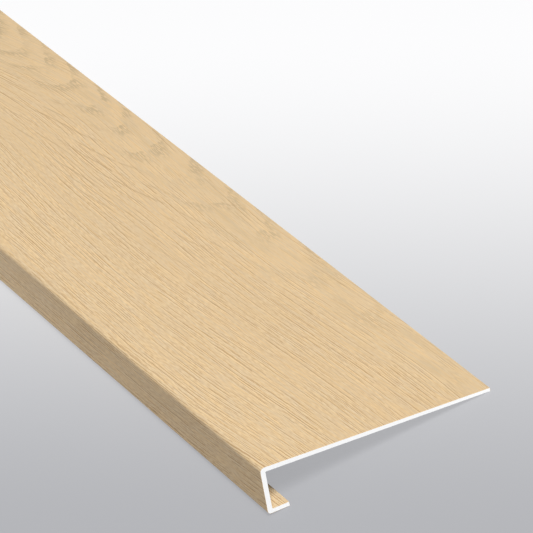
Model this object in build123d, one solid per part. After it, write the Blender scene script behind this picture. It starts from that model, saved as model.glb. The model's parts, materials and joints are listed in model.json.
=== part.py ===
"""Stair tread: one length of rigid sheet profile that caps a step.

A flat plate covers the step, a square nose drops down its front and a short lip hooks back under
the step's own nosing. The profile is drawn level, run out along X, then laid down the way it rests
loose on a floor: on the rear edge of the plate and on the lip.
"""

import os
from math import asin, atan2, cos, degrees, radians, tan

from build123d import *

# Driving sizes, in millimetres and degrees.
tread_length = 1400.0
tread_depth = 250.0
nose_height = 50.0
lip_length = 23.8
lip_rise = 3.4

plate_front_thickness = 5.0
plate_rear_thickness = 3.7
nose_thickness = 5.3
lip_thickness = 4.5

nose_bend_radius = 5.0
heel_bend_radius = 3.0
inside_corner_radius = 0.6
long_edge_radius = 0.4

# Corners of the section: first number toward the rear, second number up, from the sharp corner
# where the top face would meet the front of the nose.
nose_top = Vector(0, 0)
heel = Vector(0, -nose_height)

along_lip = Vector(1, 0).rotate(Axis.Z, lip_rise)
through_lip = Vector(0, 1).rotate(Axis.Z, lip_rise)
lip_end_low = heel + along_lip * lip_length
lip_end_high = lip_end_low + through_lip * lip_thickness

lip_top_at_nose = lip_thickness / cos(radians(lip_rise)) + nose_thickness * tan(radians(lip_rise))
lip_corner = Vector(nose_thickness, lip_top_at_nose - nose_height)
plate_corner = Vector(nose_thickness, -plate_front_thickness)

rear_low = Vector(tread_depth, -plate_rear_thickness)
rear_high = Vector(tread_depth, 0)

# Each corner in order round the section, with the radius it is rounded to.
rounded_corners = [
    (nose_top, nose_bend_radius),
    (heel, heel_bend_radius),
    (lip_end_low, long_edge_radius),
    (lip_end_high, long_edge_radius),
    (lip_corner, inside_corner_radius),
    (plate_corner, inside_corner_radius),
    (rear_low, long_edge_radius),
    (rear_high, long_edge_radius),
]
corners = [corner for corner, radius in rounded_corners]
radii = [radius for corner, radius in rounded_corners]

with BuildPart() as profile:
    with BuildSketch(Plane.YZ) as section:
        with BuildLine():
            FilletPolyline(*corners, radius=radii, close=True)
        make_face()
    extrude(amount=tread_length / 2, both=True)


def floor_angle(front_round, rear_round):
    """Slope in degrees of the floor line that touches both rounds of the section from below."""
    step = rear_round.arc_center - front_round.arc_center
    return degrees(atan2(step.Z, step.Y) - asin((rear_round.radius - front_round.radius) / step.length))


# Loose on a floor the tread leans back onto its rear lower edge. In front it stands on whichever
# round comes lowest, the heel or the lip's free end, and that is the one with the steepest floor line.
rounds = section.sketch.edges().filter_by(GeomType.CIRCLE).sort_by(Axis.Y)
rear_foot = rounds[-2:].sort_by(Axis.Z)[0]
rest_tilt = max(floor_angle(front_foot, rear_foot) for front_foot in rounds[:-2])

lying = Rot(X=-rest_tilt) * profile.part
box = lying.bounding_box()
stair_tread = Pos(-box.center().X, -box.center().Y, -box.min.Z) * lying
stair_tread.label = "stair_tread"

os.makedirs("parts", exist_ok=True)
export_step(stair_tread, "parts/stair_tread.step")
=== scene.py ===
"""Looks of the stair tread: an oak decor film over a white sheet profile, on a pale floor in soft light."""

import json
import math
from typing import NamedTuple

import bpy
import numpy as np
from mathutils import Matrix, Vector


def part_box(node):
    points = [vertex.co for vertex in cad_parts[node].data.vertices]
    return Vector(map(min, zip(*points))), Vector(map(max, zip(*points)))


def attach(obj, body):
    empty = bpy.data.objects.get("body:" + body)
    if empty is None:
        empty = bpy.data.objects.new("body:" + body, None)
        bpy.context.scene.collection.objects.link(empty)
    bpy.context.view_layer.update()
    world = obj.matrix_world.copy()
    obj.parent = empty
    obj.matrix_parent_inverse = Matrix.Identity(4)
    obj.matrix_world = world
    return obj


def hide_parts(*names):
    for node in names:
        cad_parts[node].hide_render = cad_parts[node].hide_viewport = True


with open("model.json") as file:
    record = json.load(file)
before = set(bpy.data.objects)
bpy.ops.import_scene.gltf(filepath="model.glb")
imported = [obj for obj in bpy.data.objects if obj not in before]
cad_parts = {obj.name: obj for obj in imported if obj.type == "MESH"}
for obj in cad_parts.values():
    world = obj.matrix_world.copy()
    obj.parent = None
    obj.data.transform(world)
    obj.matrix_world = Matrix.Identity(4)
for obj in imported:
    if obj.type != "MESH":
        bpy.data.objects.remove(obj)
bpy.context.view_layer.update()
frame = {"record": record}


class Marks(NamedTuple):
    """Soft marks of about that length and width, in metres, and the noise that draws them.

    The shift picks a stretch of the noise, the detail is the number of its finer layers, and the levels are
    those of the noise at which a mark begins and is full.
    """

    length: float
    width: float
    shift: float = 0.0
    detail: float = 2.0
    levels: tuple = (0.3, 0.7)


mm = 0.001

# Section of the profile, in metres. Its points are given toward the rear and up from the sharp corner
# where the top face would meet the front of the nose.
tread_depth = 250 * mm
nose_height = 50 * mm
lip_length = 23.8 * mm
lip_rise = math.radians(3.4)
plate_front_thickness = 5.0 * mm
plate_rear_thickness = 3.7 * mm
nose_thickness = 5.3 * mm
lip_thickness = 4.5 * mm
nose_bend_radius = 5.0 * mm
heel_bend_radius = 3.0 * mm
inside_corner_radius = 0.6 * mm
long_edge_radius = 0.4 * mm

# Thickness of the film, which shows as a thin rim on the cut ends, and the edge that the saw leaves.
film_thickness = 0.25 * mm
saw_edge = 0.12 * mm

# Mesh: its spacing, the least angle that stays a sharp edge, and the tread's materials in order.
station_step = 10 * mm
straight_step = 4 * mm
arc_step = 0.4 * mm
fewest_arc_steps = 5
sharp_angle = math.radians(30)
film_index, sheet_index, cut_index = range(3)

# Growth rings of the oak print. The print is plain-sawn: the pith runs along the rear of the tread,
# below its face, and climbs toward the far end, so that the rings arch toward the near end.
pith_across = 32 * mm
pith_depth = 139 * mm
pith_climb = 0.025
pith_bend = 0.025
ring_spacing = 5.8 * mm
ring_phase = 0.71
ring_waver = Marks(200 * mm, 40 * mm, shift=1.7)
ring_jitter = Marks(30 * mm, 7 * mm, shift=8.8)
jitter_in_rings = 0.3

# Each ring has a smudge of short dashes and a thin line. Both are given in shares of the ring: where they
# begin, are full, start to fade and are gone.
smudge_in_ring = (0.0, 0.08, 0.15, 0.75)
line_in_ring = (0.0, 0.05, 0.06, 0.20)
smudge_dashes = Marks(14 * mm, 1.6 * mm, shift=13.0, detail=1.0, levels=(0.34, 0.60))
smudge_pieces = Marks(70 * mm, 20 * mm, shift=17.2, detail=1.0, levels=(0.34, 0.60))
faintest_smudge = 0.3
line_pieces = Marks(140 * mm, 14 * mm, shift=22.9, levels=(0.36, 0.60))
line_greyness = 0.6
line_darkness = 0.30

# The grain's lines sway to and fro across the tread as they run along it. Toward the far end those
# near the rear edge bend away from it, along the sides of the arches.
sway = 18 * mm
sway_length = 2.2
bend_slope = 0.22
bend_begins = 0.90
bend_ends = 1.15
bent_across = 70 * mm
straight_across = 170 * mm

# Waves in the flow of the grain, from broad to fine, each with how far it moves the lines.
flow_waves = (
    (Marks(400 * mm, 120 * mm, shift=9.4, detail=0.0), 16 * mm),
    (Marks(120 * mm, 30 * mm, shift=47.3, detail=0.0), 2.4 * mm),
    (Marks(14 * mm, 5 * mm, shift=61.9, detail=0.0), 0.5 * mm),
)

# Pore lines are rows of dashes along the grain, from coarse to fine: the spacing of the rows, the longest
# dash and the depth of its groove.
pore_rows = (
    (8.0 * mm, 230 * mm, 1.65),
    (4.6 * mm, 135 * mm, 1.40),
    (2.6 * mm, 60 * mm, 0.80),
)
pore_width = 0.85 * mm

# The line of a row lies past a margin by a random share of its play, both in shares of the spacing. The
# ridge on one side of the groove is raised in the relief and painted lighter in the colour, a painted
# highlight; it begins, is full, starts to fade and is gone at these half widths from the groove's middle.
line_margin = 0.20
line_play = 0.35
highlight_ridge_in_half_widths = (0.2, 1.2, 2.0, 5.0)
# How high the ridge stands beside a groove of depth 1, in the relief and in its painted highlight.
highlight_ridge_height = 0.16

# A dash: its start, its taper and its least length in shares of the longest one, how its strength is shared
# out between its row, itself and the clear patches of the grain, and which strengths show.
dash_start = 0.08
dash_taper = 0.15
shortest_dash = 0.5
row_share = 0.6
clear_share = 0.35
strength_levels = (0.20, 0.85)

# Rows are shifted along the grain by up to that many dashes. Dashes and layers of rows are counted in whole
# numbers, and what belongs to a whole row is drawn halfway between two of them.
row_shift_in_dashes = 10.0
halfway = 0.5

# Fine pores and long bands between the pore lines.
fine_pores = Marks(10 * mm, 1.1 * mm, shift=3.1, detail=0.0)
fine_pore_depth = 0.42
long_bands = Marks(600 * mm, 4 * mm, shift=5.2)
band_depth = 0.12
grain_level = -0.19

# Zones of the film: where each begins and is full, in metres across the grain from the lower rear edge or
# along it from the near end. For the sides of the arches it is also where they fade and are gone.
flat_across = (60 * mm, 22 * mm)
flat_far_along = (0.35, 1.00)
arches_along = (0.15, 0.85)
sides_across = (30 * mm, 65 * mm, 100 * mm, 160 * mm)
sides_along = (0.30, 0.70)
front_across = (80 * mm, tread_depth)
nose_across = (tread_depth, tread_depth + 8 * mm)
clear_patches = Marks(160 * mm, 22 * mm, shift=52.6)

# What each zone adds to the contrast and the lightness of the grain, and to how much the rings' smudges and
# the grey patches show.
grain_contrast = {
    "everywhere": 0.98,
    "clear": 0.40,
    "front": 0.50,
    "nose": 0.20,
    "sides": -0.35,
    "flat": -0.65,
    "flat_far": -0.25,
}
grain_lightness = {"everywhere": 0.62, "sides": 0.035, "flat": 0.095, "flat_far": -0.005}
smudge_presence = {"everywhere": 0.10, "flat": 0.30, "arches": 0.56}
patch_presence = {"everywhere": 0.06, "flat": 0.24}

# Colours of the film, in 8-bit sRGB, and the marks in which they change.
oak_light = (247, 215, 165)
oak_deep = (241, 211, 163)
oak_pale = (236, 212, 174)
oak_grey = (203, 183, 147)
groove_brown = (196, 160, 117)
deep_marks = Marks(250 * mm, 30 * mm)
pale_marks = Marks(50 * mm, 1.8 * mm, shift=30.5)
grey_patches = Marks(90 * mm, 10 * mm, shift=40.2, levels=(0.48, 0.75))

# Surface of the film: its roughness in the grooves and between them, its shine and its relief.
film_roughness = (0.66, 0.50)
film_shine = 0.2
film_relief = 0.4 * mm
relief_strength = 0.3

# Bare sheet and sawn ends: their lines, their colours in the lines and between them, their relief, and for
# both the roughness in the lines and between them.
draw_lines = Marks(600 * mm, 1.5 * mm)
sheet_colours = ((240, 240, 238), (247, 247, 246))
sheet_relief = 0.06 * mm
saw_lines = Marks(0.6 * mm, 20 * mm)
cut_colours = ((244, 244, 243), (250, 250, 250))
cut_relief = 0.03 * mm
white_roughness = (0.65, 0.45)

# Turn of the noise's own grid away from the grain, in radians.
grid_turn = 0.6

# Camera, as the near end of the level tread is seen: angles in degrees round the near nose corner, then
# where that corner sits in front of the lens, to the right, up and away, in metres.
camera_azimuth = 19.44
camera_elevation = 23.97
camera_roll = 10.76
corner_in_view = Vector((-0.00675, -0.19582, 6.32102))
focal_length_in_pixels = 6537
picture_width_in_pixels = 533

# Light: how brightly the sky and the key lamp each light a surface that faces them, the direction of the
# lamp, and its distance and width in metres.
sky_level = 0.26
key_level = 0.99
key_direction = Vector((0.65, 0.03, 0.76))
key_distance = 60.0
key_size = 24.0

# Floor: its reach from the middle of the picture and where along its own Y axis it is white and where it is
# grey with painted shade, in metres, both colours in 8-bit sRGB, its roughness and how much of its look is
# its own light.
floor_reach = 12.0
floor_white_at = 0.45
floor_shade_at = -0.50
floor_white = (252, 252, 253)
floor_shade_grey = (180, 181, 185)
floor_roughness = 0.9
floor_glow = 0.78


# The profile's section

def section_corners():
    """Sharp corners of the section in order, from the rear lower edge over the top to the underside."""
    along_lip = Vector((math.cos(lip_rise), math.sin(lip_rise)))
    through_lip = Vector((-math.sin(lip_rise), math.cos(lip_rise)))
    heel = Vector((0, -nose_height))
    lip_end_low = heel + along_lip * lip_length
    lip_top_at_nose = lip_thickness / math.cos(lip_rise) + nose_thickness * math.tan(lip_rise)
    return {
        "rear_low": (Vector((tread_depth, -plate_rear_thickness)), long_edge_radius),
        "rear_high": (Vector((tread_depth, 0)), long_edge_radius),
        "nose_top": (Vector((0, 0)), nose_bend_radius),
        "heel": (heel, heel_bend_radius),
        "lip_end_low": (lip_end_low, long_edge_radius),
        "lip_end_high": (lip_end_low + through_lip * lip_thickness, long_edge_radius),
        "lip_corner": (Vector((nose_thickness, lip_top_at_nose - nose_height)), inside_corner_radius),
        "plate_corner": (Vector((nose_thickness, -plate_front_thickness)), inside_corner_radius),
    }


def corner_round(before, corner, after, radius):
    """Points and outward normals of the arc that rounds one corner of an outline drawn anticlockwise."""
    back = (before - corner).normalized()
    ahead = (after - corner).normalized()
    half_angle = back.angle(ahead) / 2
    centre = corner + (back + ahead).normalized() * radius / math.sin(half_angle)
    arm = corner + back * radius / math.tan(half_angle) - centre
    turn = math.copysign(math.pi - 2 * half_angle, ahead.cross(back))
    steps = max(fewest_arc_steps, math.ceil(abs(turn) * radius / arc_step))
    arms = [Matrix.Rotation(turn * i / steps, 2) @ arm for i in range(steps + 1)]
    outward = math.copysign(1 / radius, turn)
    return [(centre + a, a * outward) for a in arms]


def straight_run(start, end):
    """Points and outward normals between two points, which are left out themselves."""
    step = end - start
    count = max(1, round(step.length / straight_step))
    normal = Vector((step.y, -step.x)).normalized()
    return [(start + step * i / count, normal) for i in range(1, count)]


def section_outline(corners):
    """Points, outward normals and the index at which each corner's round begins."""
    places = [place for place, radius in corners.values()]
    rounds = [
        corner_round(places[i - 1], place, places[(i + 1) % len(places)], radius)
        for i, (place, radius) in enumerate(corners.values())
    ]
    outline = []
    begins = {}
    for i, name in enumerate(corners):
        begins[name] = len(outline)
        outline += rounds[i]
        outline += straight_run(rounds[i][-1][0], rounds[(i + 1) % len(rounds)][0][0])
    points = np.array([point for point, normal in outline])
    normals = np.array([normal for point, normal in outline])
    return points, normals, begins


# Where the level profile lies on the floor

def rest_tilt():
    """Angle by which the tread leans back, read from the back of its nose, which is upright when level."""
    nose_back = next(m for m in frame["record"]["mounts"] if m["name"] == "nose_back")
    return math.atan2(-nose_back["axis"][2], nose_back["axis"][1])


def lying_matrix(points):
    """Turns the level section back by the rest tilt and sets it in the box of the solid."""
    turn = Matrix.Rotation(-rest_tilt(), 4, "X")
    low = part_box("stair_tread")[0]
    turned = np.array([turn @ Vector((0, *point)) for point in points])
    shift = Vector((0, low.y - turned[:, 1].min(), low.z - turned[:, 2].min()))
    return Matrix.Translation(shift) @ turn


# The tread's mesh

def ring_radius(along, across):
    """Distance from the pith at a place on the unrolled film: its contours are the growth rings."""
    depth = pith_depth - along * (pith_climb + pith_bend * along)
    return np.hypot(across - pith_across, depth)


def grain_across(along, across):
    """Where a place on the unrolled film lies across the grain, whose lines sway and bend along the tread."""
    swayed = sway * math.sin(2 * math.pi * along / sway_length)
    turned = min(max((along - bend_begins) / (bend_ends - bend_begins), 0.0), 1.0)
    past = max(along - bend_ends, 0.0)
    bent = bend_slope * (turned**2 / 2 * (bend_ends - bend_begins) + past)
    share = min(max((straight_across - across) / (straight_across - bent_across), 0.0), 1.0)
    return across - swayed - bent * share**2 * (3 - 2 * share)


def stations(half_length):
    """Each place along the tread as its x and how far the section is drawn in there, with both saw cuts."""
    inner = half_length - saw_edge
    count = round(2 * inner / station_step)
    start = [(-half_length, film_thickness), (-half_length, saw_edge)]
    middle = [(x, 0.0) for x in np.linspace(-inner, inner, count + 1)]
    end = [(half_length, saw_edge), (half_length, film_thickness)]
    return start + middle + end


def build_tread():
    """The whole profile as one mesh, with the film, the bare sheet and the cut ends as three materials.

    Its UV map holds, in metres, how far a place lies from the near end and across the grain, and on the cut
    ends where it lies in the section.
    """
    points, normals, begins = section_outline(section_corners())
    place = lying_matrix(points)
    near_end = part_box("stair_tread")[1].x
    rings = stations(near_end)
    around = len(points)

    vertices = []
    for x, inset in rings:
        for y, z in points - normals * inset:
            vertices.append(place @ Vector((x, y, z)))

    step_lengths = np.linalg.norm(np.roll(points, -1, axis=0) - points, axis=1)
    across = np.concatenate([[0.0], np.cumsum(step_lengths)])
    film_ends = begins["lip_corner"]

    faces, materials, grain = [], [], []
    for i in range(len(rings) - 1):
        here, ahead = near_end - rings[i][0], near_end - rings[i + 1][0]
        for j in range(around):
            k = (j + 1) % around
            faces.append((i * around + j, i * around + k, (i + 1) * around + k, (i + 1) * around + j))
            materials.append(film_index if j < film_ends else sheet_index)
            corners = ((here, across[j]), (here, across[j + 1]), (ahead, across[j + 1]), (ahead, across[j]))
            grain += [(a, grain_across(a, c)) for a, c in corners]
    for ring in (range(around - 1, -1, -1), range((len(rings) - 1) * around, len(rings) * around)):
        faces.append(tuple(ring))
        materials.append(cut_index)
        grain += [tuple(points[v % around]) for v in ring]

    mesh = bpy.data.meshes.new("oak_tread")
    mesh.from_pydata(vertices, [], faces)
    mesh.polygons.foreach_set("material_index", materials)
    mesh.uv_layers.new(name="grain").uv.foreach_set("vector", np.array(grain, np.float32).ravel())
    along = np.array([near_end - x for x, inset in rings])
    radius = ring_radius(along[:, None], across[None, :-1])
    mesh.attributes.new("ring_radius", "FLOAT", "POINT").data.foreach_set("value", radius.ravel())
    mesh.shade_smooth()
    mesh.set_sharp_from_angle(angle=sharp_angle)
    tread = bpy.data.objects.new("oak_tread", mesh)
    bpy.context.scene.collection.objects.link(tread)
    return tread, place


# Shader building blocks

def srgb(red, green, blue):
    """A colour given as 8-bit sRGB, in the linear form that shaders take."""
    linear = [((c / 255 + 0.055) / 1.055) ** 2.4 for c in (red, green, blue)]
    return (*linear, 1.0)


def add_node(tree, kind, inputs=None, **settings):
    """Adds a node, with settings on the node and values or links on its inputs."""
    node = tree.nodes.new(kind)
    for name, value in settings.items():
        setattr(node, name, value)
    for key, value in (inputs or {}).items():
        if isinstance(value, bpy.types.NodeSocket):
            tree.links.new(value, node.inputs[key])
        else:
            node.inputs[key].default_value = value
    return node


def new_material(name):
    """A material with its node tree and its shader node."""
    material = bpy.data.materials.new(name)
    material.use_nodes = True
    return material, material.node_tree, material.node_tree.nodes["Principled BSDF"]


def calculate(tree, operation, *values):
    """The result of one arithmetic node."""
    return add_node(tree, "ShaderNodeMath", dict(enumerate(values)), operation=operation).outputs[0]


def product(tree, first, *others):
    """All values multiplied."""
    for value in others:
        first = calculate(tree, "MULTIPLY", first, value)
    return first


def total(tree, base, *terms):
    """A base value plus other values, each times its weight."""
    for value, weight in terms:
        base = calculate(tree, "MULTIPLY_ADD", value, weight, base)
    return base


def fade(tree, value, begins, full):
    """0 where it begins, 1 where it is full, eased between them."""
    return add_node(
        tree,
        "ShaderNodeMapRange",
        {"Value": value, "From Min": begins, "From Max": full},
        interpolation_type="SMOOTHSTEP",
    ).outputs[0]


def between(tree, value, begins, full, fades, gone):
    """0 where it begins, 1 from where it is full to where it fades, and 0 again where it is gone."""
    return product(tree, fade(tree, value, begins, full), fade(tree, value, gone, fades))


def streaks(tree, coordinates, marks):
    """Noise drawn out along the grain, in marks of that length and width.

    The noise's own grid is turned away from the grain, so that its cells don't line up across the marks.
    """
    stretched = add_node(
        tree,
        "ShaderNodeMapping",
        {
            "Vector": coordinates,
            "Scale": (1 / marks.length, 1 / marks.width, 1),
            "Rotation": (0, 0, grid_turn),
            "Location": (marks.shift, marks.shift, 0),
        },
    )
    noise = add_node(
        tree,
        "ShaderNodeTexNoise",
        {"Vector": stretched.outputs[0], "Scale": 1.0, "Detail": marks.detail},
        noise_dimensions="2D",
    )
    return noise.outputs["Fac"]


def separate_marks(tree, coordinates, marks):
    """The same noise as marks that stand apart, 1 inside them and 0 between them."""
    return fade(tree, streaks(tree, coordinates, marks), *marks.levels)


def random_values(tree, row, place, layer):
    """Three values from 0 to 1 that belong to one place in one row of a layer."""
    cell = add_node(tree, "ShaderNodeCombineXYZ", {0: row, 1: place, 2: layer + halfway})
    noise = add_node(tree, "ShaderNodeTexWhiteNoise", {"Vector": cell.outputs[0]}, noise_dimensions="3D")
    return add_node(tree, "ShaderNodeSeparateColor", {0: noise.outputs["Color"]}).outputs[:3]


def blend(tree, amount, first, second):
    """Mixes two colours."""
    mix = add_node(tree, "ShaderNodeMix", {0: amount, 6: first, 7: second}, data_type="RGBA")
    return mix.outputs[2]


def add_surface(tree, shader, colour, height, relief, gloss, roughness):
    """Gives a shader its colour, its relief and its roughness.

    The relief is what a height of 1 stands for, in metres. The roughness goes from its first value to its
    second as the gloss goes from 0 to 1.
    """
    bump = add_node(
        tree,
        "ShaderNodeBump",
        {"Height": height, "Strength": relief_strength, "Distance": relief},
    )
    rough, smooth = roughness
    finish = add_node(tree, "ShaderNodeMapRange", {"Value": gloss, "To Min": rough, "To Max": smooth})
    tree.links.new(colour, shader.inputs["Base Color"])
    tree.links.new(bump.outputs[0], shader.inputs["Normal"])
    tree.links.new(finish.outputs[0], shader.inputs["Roughness"])


# The oak film

def film_zones(tree, film, along, across):
    """How far a place on the film belongs to each zone, from 0 to 1.

    Near the rear edge the rings lie flat, so that the grain is plain, plainest toward the far end, and shows
    arches and grey patches. The arches' rings run on at their sides as thin lines. The grain is bolder toward
    the front and on the nose, and in clear patches all over.
    """
    flat = fade(tree, across, *flat_across)
    return {
        "everywhere": 1.0,
        "clear": separate_marks(tree, film, clear_patches),
        "front": fade(tree, across, *front_across),
        "nose": fade(tree, across, *nose_across),
        "flat": flat,
        "flat_far": product(tree, flat, fade(tree, along, *flat_far_along)),
        "arches": product(tree, flat, fade(tree, along, *arches_along)),
        "sides": product(tree, between(tree, across, *sides_across), fade(tree, along, *sides_along)),
    }


def by_zone(tree, zones, shares):
    """What the zones at a place add up to."""
    return total(tree, 0.0, *[(zones[name], share) for name, share in shares.items()])


def pore_dashes(tree, along, flow, clear, spacing, length, layer):
    """Rows of embossed dashes along the grain, each a thin dark groove beside a raised ridge with a painted
    highlight.

    Every row has its own line and strength, and every dash in it its own length and strength.
    """
    place = calculate(tree, "DIVIDE", flow, spacing)
    row = calculate(tree, "FLOOR", place)
    row_start, line_place, row_strength = random_values(tree, row, halfway, layer)
    step = total(tree, 0.0, (along, 1 / length), (row_start, row_shift_in_dashes))
    dash_strength, dash_length = random_values(tree, row, calculate(tree, "FLOOR", step), layer)[:2]

    in_row = calculate(tree, "FRACT", place)
    distance = total(tree, -line_margin * spacing, (in_row, spacing), (line_place, -line_play * spacing))
    half_width = pore_width / 2
    groove = between(tree, distance, -half_width, 0.0, 0.0, half_width)
    # Raised in the relief and painted lighter in the colour: a painted highlight on one side of the groove.
    highlight_ridge = between(tree, distance, *[reach * half_width for reach in highlight_ridge_in_half_widths])
    profile = total(tree, 0.0, (groove, -1.0), (highlight_ridge, highlight_ridge_height))

    in_dash = calculate(tree, "FRACT", step)
    end = total(tree, shortest_dash, (dash_length, 1 - shortest_dash))
    taper = calculate(tree, "SUBTRACT", end, dash_taper)
    shown = between(tree, in_dash, 0.0, dash_start, taper, end)
    strength = total(
        tree,
        -clear_share / 2,
        (row_strength, row_share),
        (dash_strength, 1 - row_share),
        (clear, clear_share),
    )
    return product(tree, profile, shown, fade(tree, strength, *strength_levels))


def growth_rings(tree, film):
    """Broken smudges of short dashes, and thin lines, where each growth ring begins."""
    radius = add_node(tree, "ShaderNodeAttribute", attribute_name="ring_radius").outputs["Fac"]
    ring = total(tree, ring_phase, (radius, 1 / ring_spacing), (streaks(tree, film, ring_waver), 1.0))
    jittered_ring = total(tree, ring, (streaks(tree, film, ring_jitter), jitter_in_rings))

    pieces = separate_marks(tree, film, smudge_pieces)
    smudges = product(
        tree,
        between(tree, calculate(tree, "FRACT", jittered_ring), *smudge_in_ring),
        separate_marks(tree, film, smudge_dashes),
        total(tree, faintest_smudge, (pieces, 1 - faintest_smudge)),
    )
    lines = product(
        tree,
        between(tree, calculate(tree, "FRACT", ring), *line_in_ring),
        separate_marks(tree, film, line_pieces),
    )
    return smudges, lines


def oak_film():
    """Light oak print with an embossed grain: tones, rows of thin lines with painted highlights, short pores
    and growth rings.
    """
    material, tree, shader = new_material("oak_film")
    film = add_node(tree, "ShaderNodeUVMap", uv_map="grain").outputs[0]
    along, across = add_node(tree, "ShaderNodeSeparateXYZ", {0: film}).outputs[:2]
    zones = film_zones(tree, film, along, across)

    flow = total(tree, across, *[(streaks(tree, film, wave), size) for wave, size in flow_waves])
    dashes = [
        (pore_dashes(tree, along, flow, zones["clear"], spacing, length, layer), depth)
        for layer, (spacing, length, depth) in enumerate(pore_rows, start=1)
    ]
    pores = (streaks(tree, film, fine_pores), fine_pore_depth)
    bands = (streaks(tree, film, long_bands), band_depth)
    # The grain sets both the relief and the colour, so the pore ridges come out as painted highlights.
    grain = total(tree, grain_level, *dashes, pores, bands)
    grain = product(tree, grain, by_zone(tree, zones, grain_contrast))

    smudges, lines = growth_rings(tree, film)
    smudges = product(tree, smudges, by_zone(tree, zones, smudge_presence))
    lines = product(tree, lines, zones["sides"])
    patches = separate_marks(tree, film, grey_patches)
    patches = product(tree, patches, by_zone(tree, zones, patch_presence))
    greyness = calculate(tree, "MAXIMUM", smudges, patches)
    greyness = calculate(tree, "MAXIMUM", greyness, product(tree, lines, line_greyness))
    lightness = by_zone(tree, zones, grain_lightness)
    lightness = total(tree, lightness, (grain, 1.0), (lines, -line_darkness))

    colour = blend(tree, separate_marks(tree, film, deep_marks), srgb(*oak_light), srgb(*oak_deep))
    colour = blend(tree, separate_marks(tree, film, pale_marks), colour, srgb(*oak_pale))
    colour = blend(tree, greyness, colour, srgb(*oak_grey))
    colour = blend(tree, lightness, srgb(*groove_brown), colour)
    add_surface(tree, shader, colour, grain, film_relief, lightness, film_roughness)
    shader.inputs["Specular IOR Level"].default_value = film_shine
    return material


# The bare sheet and its sawn ends

def streaked_white(name, marks, colours, relief):
    """White plastic with faint lines that show in its colour, its gloss and its relief."""
    material, tree, shader = new_material(name)
    place = add_node(tree, "ShaderNodeUVMap", uv_map="grain").outputs[0]
    lines = streaks(tree, place, marks)
    dark, light = colours
    colour = blend(tree, lines, srgb(*dark), srgb(*light))
    add_surface(tree, shader, colour, lines, relief, lines, white_roughness)
    return material


def bare_sheet():
    """White rigid sheet with faint draw lines along its length."""
    return streaked_white("bare_sheet", draw_lines, sheet_colours, sheet_relief)


def cut_end():
    """White sawn end with faint saw lines."""
    return streaked_white("cut_end", saw_lines, cut_colours, cut_relief)


# Stage

def floor_material():
    """Pale floor, white far from the camera and light grey near it, the grey being painted shade.

    Most of its look is its own light, so that shadows stay faint. That light is seen and mirrored, but it
    doesn't light the tread.
    """
    material, tree, shader = new_material("floor")
    place = add_node(tree, "ShaderNodeTexCoord").outputs["Object"]
    forward = add_node(tree, "ShaderNodeSeparateXYZ", {0: place}).outputs["Y"]
    # The grey near the camera is painted shade in the floor's colour.
    nearness = fade(tree, forward, floor_white_at, floor_shade_at)
    colour = blend(tree, nearness, srgb(*floor_white), srgb(*floor_shade_grey))
    tree.links.new(colour, shader.inputs["Base Color"])
    shader.inputs["Roughness"].default_value = floor_roughness
    shader.inputs["Specular IOR Level"].default_value = 0.0

    path = add_node(tree, "ShaderNodeLightPath")
    seen = path.outputs["Is Camera Ray"]
    for ray in ("Is Glossy Ray", "Is Transmission Ray"):
        seen = calculate(tree, "MAXIMUM", seen, path.outputs[ray])
    glow = add_node(tree, "ShaderNodeEmission", {"Color": colour, "Strength": 1.0})
    share = product(tree, seen, floor_glow)
    mix = add_node(tree, "ShaderNodeMixShader", {0: share, 1: shader.outputs[0], 2: glow.outputs[0]})
    tree.links.new(mix.outputs[0], tree.nodes["Material Output"].inputs["Surface"])
    return material


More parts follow.
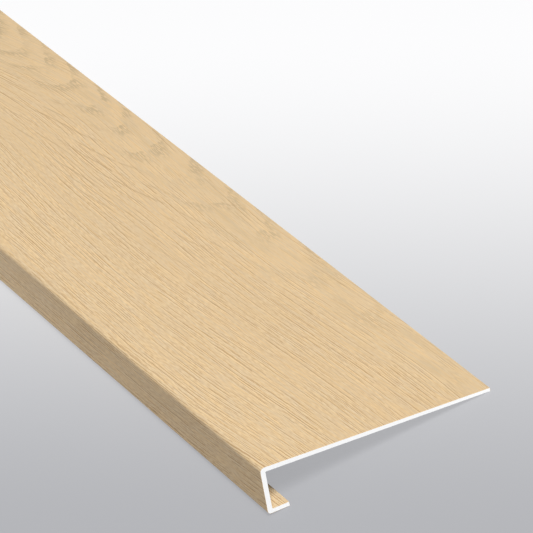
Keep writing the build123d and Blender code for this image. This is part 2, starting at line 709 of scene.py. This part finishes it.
def build_floor(camera):
    """A wide floor under the middle of the picture, turned so that its own Y axis points up the picture."""
    turn = camera.matrix_world.to_3x3()
    eye, up, away = camera.matrix_world.translation, turn.col[1], -turn.col[2]
    corners = [(x * floor_reach, y * floor_reach, 0) for x, y in ((-1, -1), (1, -1), (1, 1), (-1, 1))]
    mesh = bpy.data.meshes.new("floor")
    mesh.from_pydata(corners, [], [(0, 1, 2, 3)])
    floor = bpy.data.objects.new("floor", mesh)
    floor.location = eye - away * (eye.z / away.z)
    floor.rotation_euler = (0, 0, math.atan2(-up.x, up.y))
    bpy.context.scene.collection.objects.link(floor)
    mesh.materials.append(floor_material())


def build_light():
    """Even light from all round and one large soft lamp, far away above the near end."""
    world = bpy.data.worlds.new("studio")
    bpy.context.scene.world = world
    world.use_nodes = True
    world.node_tree.nodes["Background"].inputs["Color"].default_value = (1, 1, 1, 1)
    world.node_tree.nodes["Background"].inputs["Strength"].default_value = sky_level

    key_data = bpy.data.lights.new("key", "AREA")
    key_data.shape = "DISK"
    key_data.size = key_size
    key_data.energy = key_level * math.pi**2 * (key_distance**2 + (key_size / 2) ** 2)
    key = bpy.data.objects.new("key", key_data)
    key.location = key_direction.normalized() * key_distance
    key.rotation_euler = (-key.location).to_track_quat("-Z", "Y").to_euler()
    bpy.context.scene.collection.objects.link(key)


def build_camera(place):
    """Camera at the viewing angle of the near end, turned with the tread's lean."""
    azimuth = math.radians(camera_azimuth)
    elevation = math.radians(camera_elevation)
    away = -Vector((
        math.cos(azimuth) * math.cos(elevation),
        -math.sin(azimuth) * math.cos(elevation),
        math.sin(elevation),
    ))
    level_right = away.cross(Vector((0, 0, 1))).normalized()
    right = Matrix.Rotation(math.radians(camera_roll), 3, away) @ level_right
    up = right.cross(away)
    corner = Vector((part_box("stair_tread")[1].x, 0, 0))
    eye = corner - right * corner_in_view.x - up * corner_in_view.y - away * corner_in_view.z

    data = bpy.data.cameras.new("camera")
    data.lens = data.sensor_width * focal_length_in_pixels / picture_width_in_pixels
    camera = bpy.data.objects.new("camera", data)
    turn = Matrix((right, up, -away)).transposed().to_4x4()
    camera.matrix_world = place @ Matrix.Translation(eye) @ turn
    bpy.context.scene.collection.objects.link(camera)
    bpy.context.scene.camera = camera
    return camera


tread, place = build_tread()
for make in (oak_film, bare_sheet, cut_end):
    tread.data.materials.append(make())
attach(tread, "root")
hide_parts("stair_tread")

build_floor(build_camera(place))
build_light()
bpy.context.scene.view_settings.view_transform = "Standard"
